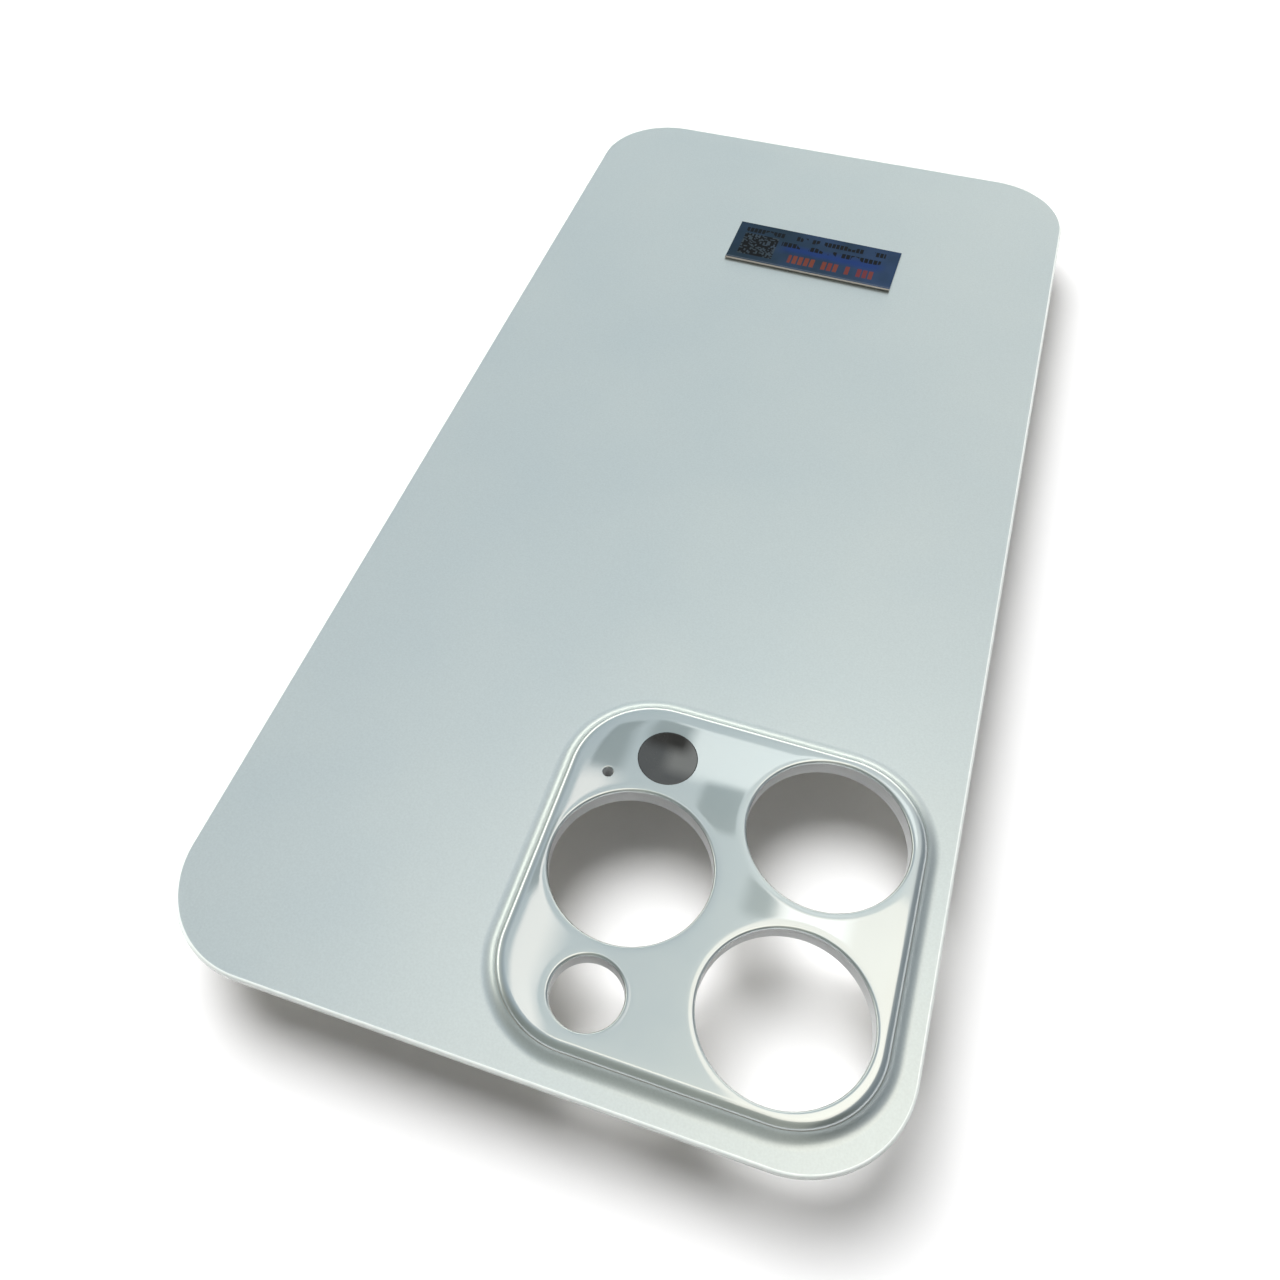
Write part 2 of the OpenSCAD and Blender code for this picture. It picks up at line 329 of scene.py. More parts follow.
def add(tree, kind, inputs=None, **settings):
    """Adds one node: settings are its properties, inputs are values or sockets to link."""
    made = tree.nodes.new("ShaderNode" + kind)
    for key, value in settings.items():
        setattr(made, key, value)
    for key, value in (inputs or {}).items():
        if isinstance(value, bpy.types.NodeSocket):
            tree.links.new(value, made.inputs[key])
        else:
            made.inputs[key].default_value = value
    return made


def new_material(name):
    """A material with nothing in it yet, and its node tree."""
    material = bpy.data.materials.new(name)
    material.use_nodes = True
    material.node_tree.nodes.clear()
    return material, material.node_tree


# ---------------------------------------------------------------- materials
def spread_ramp(ramp, stops):
    """Sets a colour ramp to stops of place and hex colour."""
    while len(ramp.elements) < len(stops):
        ramp.elements.new(0.5)
    for element, (place, code) in zip(ramp.elements, stops):
        element.position, element.color = place, colour(code)


def etched_silver_glass():
    """Acid-etched glass over a vapour-coated silver film: a soft satin sheen with a very fine
    grain, faint cloudiness from the etch, and a few specks of dust."""
    material, tree = new_material("etched_silver_glass")
    at = add(tree, "TexCoord").outputs["Object"]
    # Drawn coarser than the real grain of 0.03 mm, which would not show
    grain = add(tree, "TexNoise", {"Vector": at, "Scale": per_mm(0.22), "Detail": 2.0})
    cloud = add(tree, "TexNoise", {"Vector": at, "Scale": per_mm(16), "Detail": 3.0})
    tone = add(tree, "MapRange", {"Value": grain.outputs[0], "From Min": 0.3, "From Max": 0.7,
                                  "To Min": 0.965, "To Max": 1.035})
    film = add(tree, "MixRGB", {0: cloud.outputs[0], 1: colour("BAC3C4"), 2: colour("C0C7C6")}).outputs[0]
    speck = add(tree, "TexVoronoi", {"Vector": at, "Scale": per_mm(26), "Randomness": 1.0})
    dust = add(tree, "MapRange", {"Value": speck.outputs["Distance"], "From Min": 0.004,
                                  "From Max": 0.010, "To Min": 0.55, "To Max": 1.0})
    shade = add(tree, "Math", {0: tone.outputs[0], 1: dust.outputs[0]}, operation="MULTIPLY")
    base = add(tree, "VectorMath", {0: film, "Scale": shade.outputs[0]}, operation="SCALE")
    rough = add(tree, "MapRange", {"Value": cloud.outputs[0], "From Min": 0.3, "From Max": 0.7,
                                   "To Min": 0.34, "To Max": 0.38})
    bump = add(tree, "Bump", {"Height": grain.outputs[0], "Distance": 0.004 * MM, "Strength": 0.5})
    shader = add(tree, "BsdfPrincipled", {"Base Color": base.outputs[0], "Roughness": rough.outputs[0],
                                          "Normal": bump.outputs[0], "Metallic": 0.8, "IOR": 1.5})
    add(tree, "OutputMaterial", {"Surface": shader.outputs[0]})
    return material


def polished_silver_glass():
    """Optically polished glass over the same silver film: a soft silver base with a second,
    mirror-sharp reflection on top, slightly wavy from the polishing pad."""
    material, tree = new_material("polished_silver_glass")
    at = add(tree, "TexCoord").outputs["Object"]
    wave = add(tree, "TexNoise", {"Vector": at, "Scale": per_mm(7), "Detail": 1.0})
    smear = add(tree, "TexNoise", {"Vector": at, "Scale": per_mm(5), "Detail": 3.0})
    film = add(tree, "MixRGB", {0: smear.outputs[0], 1: colour("A3AEB0"), 2: colour("ABB4B4")}).outputs[0]
    rough = add(tree, "MapRange", {"Value": smear.outputs[0], "From Min": 0.3, "From Max": 0.7,
                                   "To Min": 0.28, "To Max": 0.34})
    bump = add(tree, "Bump", {"Height": wave.outputs[0], "Distance": 0.006 * MM, "Strength": 1.0})
    shader = add(tree, "BsdfPrincipled", {"Base Color": film, "Metallic": 1.0, "Roughness": rough.outputs[0],
                                          "Coat Weight": 1.0, "Coat Roughness": 0.03, "Coat IOR": 2.6,
                                          "Coat Normal": bump.outputs[0]})
    add(tree, "OutputMaterial", {"Surface": shader.outputs[0]})
    return material


def silver_film_back():
    """Vapour-coated film bonded to the back of the glass: bright satin metal."""
    material, tree = new_material("silver_film_under_glass")
    at = add(tree, "TexCoord").outputs["Object"]
    cloud = add(tree, "TexNoise", {"Vector": at, "Scale": per_mm(6), "Detail": 2.0})
    tone = add(tree, "MixRGB", {0: cloud.outputs[0], 1: colour("B4BCBD"), 2: colour("C6CDCD")})
    shader = add(tree, "BsdfPrincipled", {"Base Color": tone.outputs[0], "Metallic": 0.9, "Roughness": 0.3})
    add(tree, "OutputMaterial", {"Surface": shader.outputs[0]})
    return material


def polished_rim():
    """Polished edge of the pane: light gathers in it, so it is paler than the face."""
    material, tree = new_material("polished_glass_rim")
    at = add(tree, "TexCoord").outputs["Object"]
    chips = add(tree, "TexNoise", {"Vector": at, "Scale": per_mm(0.8), "Detail": 3.0})
    tone = add(tree, "MixRGB", {0: chips.outputs[0], 1: colour("DDE6E2"), 2: colour("F4F7F3")})
    shader = add(tree, "BsdfPrincipled", {"Base Color": tone.outputs[0], "Roughness": 0.16, "IOR": 1.5,
                                          "Coat Weight": 0.6, "Coat Roughness": 0.04})
    add(tree, "OutputMaterial", {"Surface": shader.outputs[0]})
    return material


def ground_glass():
    """Diamond-ground wall of the bores: pale grey, satin, with fine lines round the bore."""
    material, tree = new_material("ground_glass_wall")
    at = add(tree, "TexCoord").outputs["Object"]
    squeezed = add(tree, "Mapping", {"Vector": at, "Scale": (0.15, 0.15, 4.0)})
    lines = add(tree, "TexNoise", {"Vector": squeezed.outputs[0], "Scale": per_mm(0.6), "Detail": 3.0})
    bump = add(tree, "Bump", {"Height": lines.outputs[0], "Distance": 0.01 * MM, "Strength": 0.6})
    tone = add(tree, "MixRGB", {0: lines.outputs[0], 1: colour("C6C8C8"), 2: colour("DCDEDE")})
    shader = add(tree, "BsdfPrincipled", {"Base Color": tone.outputs[0], "Roughness": 0.34,
                                          "Normal": bump.outputs[0], "IOR": 1.5})
    add(tree, "OutputMaterial", {"Surface": shader.outputs[0]})
    return material


def etch_boundary():
    """The fine line where the etch resist ended, a little sunk. Its dark tan colour is painted shade, for
    the shade in the corner where the etched hollow meets the polished shoulder.
    """
    material, tree = new_material("etch_line_painted_shade")
    at = add(tree, "TexCoord").outputs["Object"]
    shade_mottle = add(tree, "TexNoise", {"Vector": at, "Scale": per_mm(3), "Detail": 2.0})
    # Painted shade: the line is coloured a mottled dark tan, as the shade in that corner
    tone = add(tree, "MixRGB", {0: shade_mottle.outputs[0], 1: colour("8D8C84"), 2: colour("B0AFA7")})
    shader = add(tree, "BsdfPrincipled", {"Base Color": tone.outputs[0], "Roughness": 0.5, "Metallic": 0.3})
    add(tree, "OutputMaterial", {"Surface": shader.outputs[0]})
    return material


def tinted_window_glass():
    """Infrared window: polished black-tinted glass with an inner coating that gives it a
    stronger, slightly warm reflection than plain glass has."""
    material, tree = new_material("tinted_window_glass")
    at = add(tree, "TexCoord").outputs["Object"]
    smear = add(tree, "TexNoise", {"Vector": at, "Scale": per_mm(2.5), "Detail": 2.0})
    rough = add(tree, "MapRange", {"Value": smear.outputs[0], "From Min": 0.3, "From Max": 0.7,
                                   "To Min": 0.01, "To Max": 0.05})
    tone = add(tree, "MixRGB", {0: smear.outputs[0], 1: colour("2A2A29"), 2: colour("343432")})
    shader = add(tree, "BsdfPrincipled", {"Base Color": tone.outputs[0], "Roughness": rough.outputs[0],
                                          "IOR": 1.78})
    add(tree, "OutputMaterial", {"Surface": shader.outputs[0]})
    return material


def black_window_edge():
    """Blackened seat and edge of the sensor window, so that no light leaks round it."""
    material, tree = new_material("black_ink_edge")
    at = add(tree, "TexCoord").outputs["Object"]
    ink = add(tree, "TexNoise", {"Vector": at, "Scale": per_mm(0.5), "Detail": 2.0})
    tone = add(tree, "MixRGB", {0: ink.outputs[0], 1: colour("2A2B2B"), 2: colour("3A3B3A")})
    shader = add(tree, "BsdfPrincipled", {"Base Color": tone.outputs[0], "Roughness": 0.55})
    add(tree, "OutputMaterial", {"Surface": shader.outputs[0]})
    return material


def woven_polyester_mesh():
    """Fine woven polyester of the microphone mesh: dark grey threads with a dull gloss."""
    material, tree = new_material("woven_polyester_mesh")
    at = add(tree, "TexCoord").outputs["Object"]
    thread = add(tree, "TexNoise", {"Vector": at, "Scale": per_mm(0.1), "Detail": 2.0})
    tone = add(tree, "MixRGB", {0: thread.outputs[0], 1: colour("1C1D1E"), 2: colour("3A3C3D")})
    shader = add(tree, "BsdfPrincipled", {"Base Color": tone.outputs[0], "Roughness": 0.5,
                                          "Sheen Weight": 0.2})
    add(tree, "OutputMaterial", {"Surface": shader.outputs[0]})
    return material


def foam_tape():
    """Die-cut acrylic foam tape: black, matt, with fine closed cells."""
    material, tree = new_material("black_acrylic_foam_tape")
    at = add(tree, "TexCoord").outputs["Object"]
    # Drawn coarser than the real cells of 0.1 mm, which would not show
    cells = add(tree, "TexVoronoi", {"Vector": at, "Scale": per_mm(0.35)})
    dent = add(tree, "Bump", {"Height": cells.outputs["Distance"], "Distance": 0.03 * MM, "Strength": 0.6})
    tone = add(tree, "MixRGB", {0: cells.outputs["Distance"], 1: colour("1A1A1B"), 2: colour("2C2C2D")})
    shader = add(tree, "BsdfPrincipled", {"Base Color": tone.outputs[0], "Roughness": 0.75,
                                          "Normal": dent.outputs[0]})
    add(tree, "OutputMaterial", {"Surface": shader.outputs[0]})
    return material


def clear_acrylic_adhesive():
    """Clear laminating adhesive: glossy at its cut edge, with a trace of trapped bubbles."""
    material, tree = new_material("clear_acrylic_adhesive")
    at = add(tree, "TexCoord").outputs["Object"]
    bubbles = add(tree, "TexVoronoi", {"Vector": at, "Scale": per_mm(1.2)})
    haze = add(tree, "MapRange", {"Value": bubbles.outputs["Distance"], "From Min": 0.05, "From Max": 0.2})
    tone = add(tree, "MixRGB", {0: haze.outputs[0], 1: colour("F1F2EC"), 2: colour("D8DBD4")})
    shader = add(tree, "BsdfPrincipled", {"Base Color": tone.outputs[0], "Roughness": 0.22, "IOR": 1.47})
    add(tree, "OutputMaterial", {"Surface": shader.outputs[0]})
    return material


def vapour_coated_film():
    """Aluminium vapour-coated polyester film: satin silver, with the fine drawn lines of the
    web running along it."""
    material, tree = new_material("vapour_coated_film")
    at = add(tree, "TexCoord").outputs["Object"]
    drawn = add(tree, "Mapping", {"Vector": at, "Scale": (1.0, 0.03, 1.0)})
    lines = add(tree, "TexNoise", {"Vector": drawn.outputs[0], "Scale": per_mm(0.4), "Detail": 2.0})
    rough = add(tree, "MapRange", {"Value": lines.outputs[0], "From Min": 0.3, "From Max": 0.7,
                                   "To Min": 0.24, "To Max": 0.36})
    tone = add(tree, "MixRGB", {0: lines.outputs[0], 1: colour("BEC4C5"), 2: colour("D4D9D9")})
    shader = add(tree, "BsdfPrincipled", {"Base Color": tone.outputs[0], "Roughness": rough.outputs[0],
                                          "Metallic": 1.0})
    add(tree, "OutputMaterial", {"Surface": shader.outputs[0]})
    return material


def glassine_liner():
    """Siliconised glassine release paper: cream, slightly see-through, with paper fibres, a
    faint cockle, and a satin gloss from the silicone."""
    material, tree = new_material("siliconised_glassine")
    at = add(tree, "TexCoord").outputs["Object"]
    drawn = add(tree, "Mapping", {"Vector": at, "Scale": (1.0, 0.35, 1.0)})
    fibre = add(tree, "TexNoise", {"Vector": drawn.outputs[0], "Scale": per_mm(0.5), "Detail": 5.0,
                                   "Distortion": 1.5})
    cockle = add(tree, "TexNoise", {"Vector": at, "Scale": per_mm(14), "Detail": 2.0})
    mixed = add(tree, "Math", {0: fibre.outputs[0], 1: cockle.outputs[0]}, operation="MULTIPLY")
    spread = add(tree, "MapRange", {"Value": mixed.outputs[0], "From Min": 0.1, "From Max": 0.42})
    height = add(tree, "Math", {0: cockle.outputs[0], 1: 20.0, 2: fibre.outputs[0]},
                 operation="MULTIPLY_ADD")
    bump = add(tree, "Bump", {"Height": height.outputs[0], "Distance": 0.01 * MM, "Strength": 0.7})
    tone = add(tree, "MixRGB", {0: spread.outputs[0], 1: colour("E0DDD4"), 2: colour("F0EEE8")})
    shader = add(tree, "BsdfPrincipled", {"Base Color": tone.outputs[0], "Roughness": 0.42,
                                          "Normal": bump.outputs[0],
                                          "Coat Weight": 0.25, "Coat Roughness": 0.25,
                                          "Subsurface Weight": 0.1,
                                          "Subsurface Radius": (0.0006, 0.0005, 0.0003)})
    add(tree, "OutputMaterial", {"Surface": shader.outputs[0]})
    return material


def patch(tree, u, v, low, high, soft=0.04):
    """Rectangle over (u, v) from low to high with a soft edge: 1 inside and 0 outside, the
    product of a rise and a fall along each of the two."""
    mask = 1.0
    for value, start, end in ((u, low[0], high[0]), (v, low[1], high[1])):
        rise = add(tree, "MapRange", {"Value": value, "From Min": start - soft, "From Max": start + soft})
        fall = add(tree, "MapRange", {"Value": value, "From Min": end - soft, "From Max": end + soft,
                                      "To Min": 1.0, "To Max": 0.0})
        both = add(tree, "Math", {0: rise.outputs[0], 1: fall.outputs[0]}, operation="MULTIPLY")
        mask = add(tree, "Math", {0: both.outputs[0], 1: mask}, operation="MULTIPLY").outputs[0]
    return mask


def blocks(tree, u, pitch, part, seed):
    """A run of short blocks along u: one block a pitch, filling part of it, some left out. Also
    gives each block's own random number."""
    cell = add(tree, "Math", {0: u, 1: pitch}, operation="DIVIDE")
    along = add(tree, "Math", {0: cell.outputs[0]}, operation="FRACT")
    there = add(tree, "Math", {0: along.outputs[0], 1: part}, operation="LESS_THAN")
    index = add(tree, "Math", {0: cell.outputs[0]}, operation="FLOOR")
    spot = add(tree, "CombineXYZ", {0: index.outputs[0], 1: seed})
    lot = add(tree, "TexWhiteNoise", {"Vector": spot.outputs[0]}, noise_dimensions="2D")
    kept = add(tree, "Math", {0: lot.outputs["Value"], 1: 0.2}, operation="GREATER_THAN")
    run = add(tree, "Math", {0: there.outputs[0], 1: kept.outputs[0]}, operation="MULTIPLY")
    return run.outputs[0], lot.outputs["Value"]


def label_back():
    """Cut edge and underside of the label stock: pale polyester with a film of adhesive."""
    material, tree = new_material("pale_polyester_edge")
    at = add(tree, "TexCoord").outputs["Object"]
    haze = add(tree, "TexNoise", {"Vector": at, "Scale": per_mm(0.6), "Detail": 2.0})
    tone = add(tree, "MixRGB", {0: haze.outputs[0], 1: colour("A9A69E"), 2: colour("C9C7C0")})
    shader = add(tree, "BsdfPrincipled", {"Base Color": tone.outputs[0], "Roughness": 0.4})
    add(tree, "OutputMaterial", {"Surface": shader.outputs[0]})
    return material


def holographic_label():
    """Holographic polyester label stock: deep blue-grey that drifts towards violet, with a blue
    band of painted highlight. Its print is made up: a square of random cells, two rows of dark
    dashes and a row of orange blocks. Its lifted near edge has a painted reflection and a painted
    highlight line. Distances are millimetres over the label, from its near left corner."""
    material, tree = new_material("holographic_label_stock")
    uv = add(tree, "TexCoord").outputs["UV"]
    mm = add(tree, "VectorMath", {0: uv, "Scale": LABEL_SPAN}, operation="SCALE")
    flat = add(tree, "SeparateXYZ", {0: mm.outputs[0]})
    u, v = flat.outputs[0], flat.outputs[1]

    # Ground: drift across the label, and a blue band that is a painted highlight
    drift = add(tree, "TexNoise", {"Vector": mm.outputs[0], "Scale": 0.16, "Detail": 2.0})
    across = add(tree, "Math", {0: u, 1: 1 / 60, 2: drift.outputs[0]}, operation="MULTIPLY_ADD")
    ground = add(tree, "ValToRGB", {"Fac": across.outputs[0]})
    spread_ramp(ground.color_ramp, ((0.3, "1A2A33"), (0.6, "1F3040"), (0.95, "283A54")))
    highlight_streak_v = add(tree, "Math", {0: drift.outputs[0], 1: 2.0, 2: v}, operation="MULTIPLY_ADD")
    highlight_streak = patch(tree, u, highlight_streak_v.outputs[0], (8.0, 5.6), (23.0, 6.8), 0.9)
    tint = add(tree, "MixRGB", {0: highlight_streak, 1: ground.outputs[0], 2: colour("193068")})

    # Square of random cells on a paler ground
    cell = add(tree, "VectorMath", {0: mm.outputs[0], 1: (0.27, 0.27, 1.0)}, operation="DIVIDE")
    index = add(tree, "VectorMath", {0: cell.outputs[0]}, operation="FLOOR")
    lot = add(tree, "TexWhiteNoise", {"Vector": index.outputs[0]}, noise_dimensions="2D")
    ink = add(tree, "Math", {0: lot.outputs["Value"], 1: 0.38}, operation="GREATER_THAN")
    square = patch(tree, u, v, (1.35, 1.9), (6.75, 7.3))
    part = add(tree, "Math", {0: square, 1: 0.35}, operation="MULTIPLY")
    pale = add(tree, "MixRGB", {0: part.outputs[0], 1: tint.outputs[0], 2: colour("434844")})
    code = add(tree, "Math", {0: square, 1: ink.outputs[0]}, operation="MULTIPLY")
    coded = add(tree, "MixRGB", {0: code.outputs[0], 1: pale.outputs[0], 2: colour("0B0E11")})

    # Two rows of dark dashes, with gaps
    dash_a, _ = blocks(tree, u, 0.62, 0.8, 3.0)
    dash_b, _ = blocks(tree, u, 0.7, 0.8, 7.0)
    band_a = patch(tree, u, v, (1.3, 7.7), (23.2, 8.8))
    band_b = patch(tree, u, v, (7.4, 5.7), (22.8, 6.8))
    row_a = add(tree, "Math", {0: dash_a, 1: band_a}, operation="MULTIPLY")
    row_b = add(tree, "Math", {0: dash_b, 1: band_b}, operation="MULTIPLY")
    rows = add(tree, "Math", {0: row_a.outputs[0], 1: row_b.outputs[0]}, operation="MAXIMUM")
    gaps = add(tree, "TexNoise", {"Vector": mm.outputs[0], "Scale": 0.5, "Detail": 0.0})
    groups = add(tree, "Math", {0: gaps.outputs[0], 1: 0.42}, operation="GREATER_THAN")
    inked = add(tree, "Math", {0: rows.outputs[0], 1: groups.outputs[0]}, operation="MULTIPLY")
    dashed = add(tree, "MixRGB", {0: inked.outputs[0], 1: coded.outputs[0], 2: colour("0D1115")})

    # Row of orange blocks
    block, chance = blocks(tree, u, 0.9, 0.72, 11.0)
    hue = add(tree, "MixRGB", {0: chance, 1: colour("6A2322"), 2: colour("733A22")})
    band_c = patch(tree, u, v, (9.2, 1.9), (22.4, 3.9), 0.12)
    row_c = add(tree, "Math", {0: block, 1: band_c}, operation="MULTIPLY")
    faded = add(tree, "Math", {0: row_c.outputs[0], 1: 0.75}, operation="MULTIPLY")
    printed = add(tree, "MixRGB", {0: faded.outputs[0], 1: dashed.outputs[0], 2: hue.outputs[0]})

    # Painted reflection: the lifted near edge is painted pale grey-beige, as the white surround reflected in
    # it, and a painted highlight runs as a pale line along its bend
    edge_reflection = patch(tree, u, v, (-1.0, -1.0), (27.0, 0.42), 0.05)
    edge_reflected = add(tree, "MixRGB", {0: edge_reflection, 1: printed.outputs[0], 2: colour("7D7971")})
    bend_highlight = patch(tree, u, v, (-1.0, 0.72), (27.0, 0.8), 0.06)
    bend_highlighted = add(tree, "MixRGB", {0: bend_highlight, 1: edge_reflected.outputs[0], 2: colour("5E656E")})

    fleck = add(tree, "TexNoise", {"Vector": mm.outputs[0], "Scale": 9.0, "Detail": 2.0})
    bump = add(tree, "Bump", {"Height": fleck.outputs[0], "Distance": 0.004 * MM, "Strength": 0.5})
    rough = add(tree, "MapRange", {"Value": fleck.outputs[0], "To Min": 0.24, "To Max": 0.36})
    shader = add(tree, "BsdfPrincipled", {"Base Color": bend_highlighted.outputs[0], "Roughness": rough.outputs[0],
                                          "Normal": bump.outputs[0], "Specular IOR Level": 0.04})
    add(tree, "OutputMaterial", {"Surface": shader.outputs[0]})
    return material


# ---------------------------------------------------------------- the pane
ETCHED, POLISHED, RIM, GROUND, FILM, LINE, BLACK = range(7)   # the pane's finishes, in order
WINDOW_STEPS = 96                                # points round the sensor window and its seat
CROWN_ROWS = (0.25, 0.5, 0.8, 1.15, 1.55, 2.0)   # rows of points in from the edge of the top
LIP_ROWS = (0.12, 0.26, 0.42, 0.6, 0.8)          # and out from each lip
CROWN_GRID = 0.75                                # grid between them
EDGE_CLEAR = 0.1                                 # no point lies nearer than this to the edge
LIP_CLEAR = 0.09                                 # or to a lip


def plateau_side():
    """Cross-sections of the etched hollow and the polished shoulder of the plateau's side, with
    the straight etch line between them. The shoulder ends on the edge of the crown, with the
    crown's own small tilt. The middles of the two arcs are the long side of a right triangle
    whose short sides are the line and the sum of the two radii: this gives the shoulder's
    radius, and the slope of the line."""
    tilt = np.arctan(3 * CROWN_DROP / CROWN_WIDTH)
    edge_z = TOP_Z - CROWN_DROP
    up = edge_z - SHEET_Z - FILLET_R
    square = SIDE_RUN ** 2 + up ** 2 - FILLET_R ** 2 - ETCH_LINE ** 2
    shoulder_r = square / (FILLET_R - SIDE_RUN * np.sin(tilt) + up * np.cos(tilt)) / 2
    across = SIDE_RUN + shoulder_r * np.sin(tilt)
    down = shoulder_r * np.cos(tilt) - up
    steep = np.degrees(np.arctan2(across, down) - np.arctan2(ETCH_LINE, FILLET_R + shoulder_r))
    hollow = arc((0, SHEET_Z + FILLET_R), FILLET_R, 270, 270 - steep, 14)
    hollow[:, 2:] *= -1
    middle = (-across, edge_z - shoulder_r * np.cos(tilt))
    return hollow, arc(middle, shoulder_r, 90 - steep, 90 - np.degrees(tilt), 18)


def build_pane():
    """The pane as one closed shell: rim and plateau side swept round their outlines, bores as
    rings, and flat stretches filled between them."""
    shell = Shell()
    rim, rim_n = outline(PANEL_W, PANEL_L, CORNER_R)
    foot, foot_n = outline(PLATEAU_W, PLATEAU_L, PLATEAU_CORNER_R, PLATEAU_AT)
    inner_rim, lower_rim = rim - RIM_R * rim_n, rim - FOOT_CHAMFER * rim_n

    # Edge of the sheet
    shell.add(sweep(rim, rim_n, arc((-RIM_R, SHEET_Z - RIM_R), RIM_R, 90, 0, 8)), RIM)
    shell.add(sweep(rim, rim_n, line((0, SHEET_Z - RIM_R), (0, BACK_Z + FOOT_CHAMFER))), RIM)
    shell.add(sweep(rim, rim_n, line((0, BACK_Z + FOOT_CHAMFER), (-FOOT_CHAMFER, BACK_Z))), RIM)

    # Etched face round the plateau
    p, f = fill(inner_rim, [foot])
    shell.add((*level(p, SHEET_Z, 1), f), ETCHED)

    # Side of the plateau: etched hollow, etch line in painted shade, polished shoulder
    hollow, shoulder = plateau_side()
    etch_line = np.array([[*hollow[-1, :2], *shoulder[0, 2:]], shoulder[0]])
    shell.add(sweep(foot, foot_n, hollow), ETCHED)
    shell.add(sweep(foot, foot_n, etch_line), LINE)
    shell.add(sweep(foot, foot_n, shoulder), POLISHED)

    # Rounded bores
    rings = []
    for at, r, lip in openings:
        steps = int(np.clip(r * 24, 48, 200))
        ring, ring_n = circle(at, r, steps)
        wide = ring + lip * ring_n
        high, _ = crown(wide)
        shell.add(sweep(ring, ring_n, arc((lip, -lip), lip, 90, 180, 8), high), POLISHED)
        shell.add(wall(ring, ring_n, high - lip, BACK_Z + BORE_BREAK), GROUND)
        c = BORE_BREAK
        shell.add(sweep(ring, ring_n, arc((c, c), c, 180, 270, 4), BACK_Z), GROUND)
        rings.append((at, wide, ring + c * ring_n))

    # Stepped seat of the sensor window
    seat_r, hole_r = sensor_r + WINDOW_GAP, sensor_r - WINDOW_LEDGE
    seat, seat_n = circle(sensor_at, seat_r, WINDOW_STEPS)
    hole, hole_n = circle(sensor_at, hole_r, WINDOW_STEPS)
    seat_z = TOP_Z - WINDOW_SEAT
    ledge = np.array([[0, seat_z, 0, 1], [hole_r - seat_r, seat_z, 0, 1]])
    shell.add(wall(seat, seat_n, crown(seat)[0], seat_z), BLACK)
    shell.add(sweep(seat, seat_n, ledge), BLACK)
    shell.add(wall(hole, hole_n, BACK_Z, seat_z), BLACK)
    rings.append((sensor_at, seat, hole))

    # Crowned top of the plateau, with denser rows of points along its edge and the openings
    edge = foot - SIDE_RUN * foot_n
    rows = [edge - e * foot_n for e in CROWN_ROWS]
    for at, r, lip in openings:
        steps = int(np.clip(r * 20, 40, 160))
        rows += [circle(at, r + lip + e, steps)[0] for e in LIP_ROWS]
    sides = [np.arange(-size / 2, size / 2, CROWN_GRID) for size in (FLAT_W, FLAT_L)]
    grid = np.stack(np.meshgrid(*sides), -1).reshape(-1, 2) + PLATEAU_AT
    spread = np.concatenate([*rows, grid])
    spread = spread[from_edge(spread) > EDGE_CLEAR]
    for at, top, _ in rings:
        clear = np.linalg.norm(top[0] - at) + LIP_CLEAR
        spread = spread[np.linalg.norm(spread - at, axis=1) > clear]
    p, f = fill(edge, [top for _, top, _ in rings], spread)
    z, n = crown(p)
    shell.add((np.c_[p, z], n, f), POLISHED)

    # Flat back, which carries the film
    p, f = fill(lower_rim, [low for _, _, low in rings])
    shell.add((*level(p, BACK_Z, -1), f), FILM)

    finishes = [etched_silver_glass(), polished_silver_glass(), polished_rim(), ground_glass(),
                silver_film_back(), etch_boundary(), black_window_edge()]
    return shell.build("cover_glass_pane", finishes)


# ---------------------------------------------------------------- the small pieces
def disc(at, r, z, steps, up):
    """Flat round face: triangles from the middle out to a circle."""
    ring, _ = circle(at, r, steps)
    i = np.arange(steps)
    f = np.stack([np.zeros(steps, int), i + 1, (i + 1) % steps + 1], 1)
    return *level(np.concatenate([[at], ring]), z, up), f


def build_window():
    """Sensor window: a round disc with a small polished arc round its upper edge."""
    low, high = box_mm("sensor_window")
    shell, e = Shell(), WINDOW_EDGE
    ring, ring_n = circle(sensor_at, sensor_r, WINDOW_STEPS)
    shell.add(disc(sensor_at, sensor_r - e, high[2], WINDOW_STEPS, 1), 0)
    shell.add(sweep(ring, ring_n, arc((-e, high[2] - e), e, 90, 0, 5)), 0)
    shell.add(sweep(ring, ring_n, np.array([[0, high[2] - e, 1, 0], [0, low[2] + e, 1, 0]])), 1)
    shell.add(sweep(ring, ring_n, arc((-e, low[2] + e), e, 0, -90, 3)), 1)
    shell.add(disc(sensor_at, sensor_r - e, low[2], WINDOW_STEPS, -1), 1)
    return shell.build("sensor_window_disc", [tinted_window_glass(), black_window_edge()])


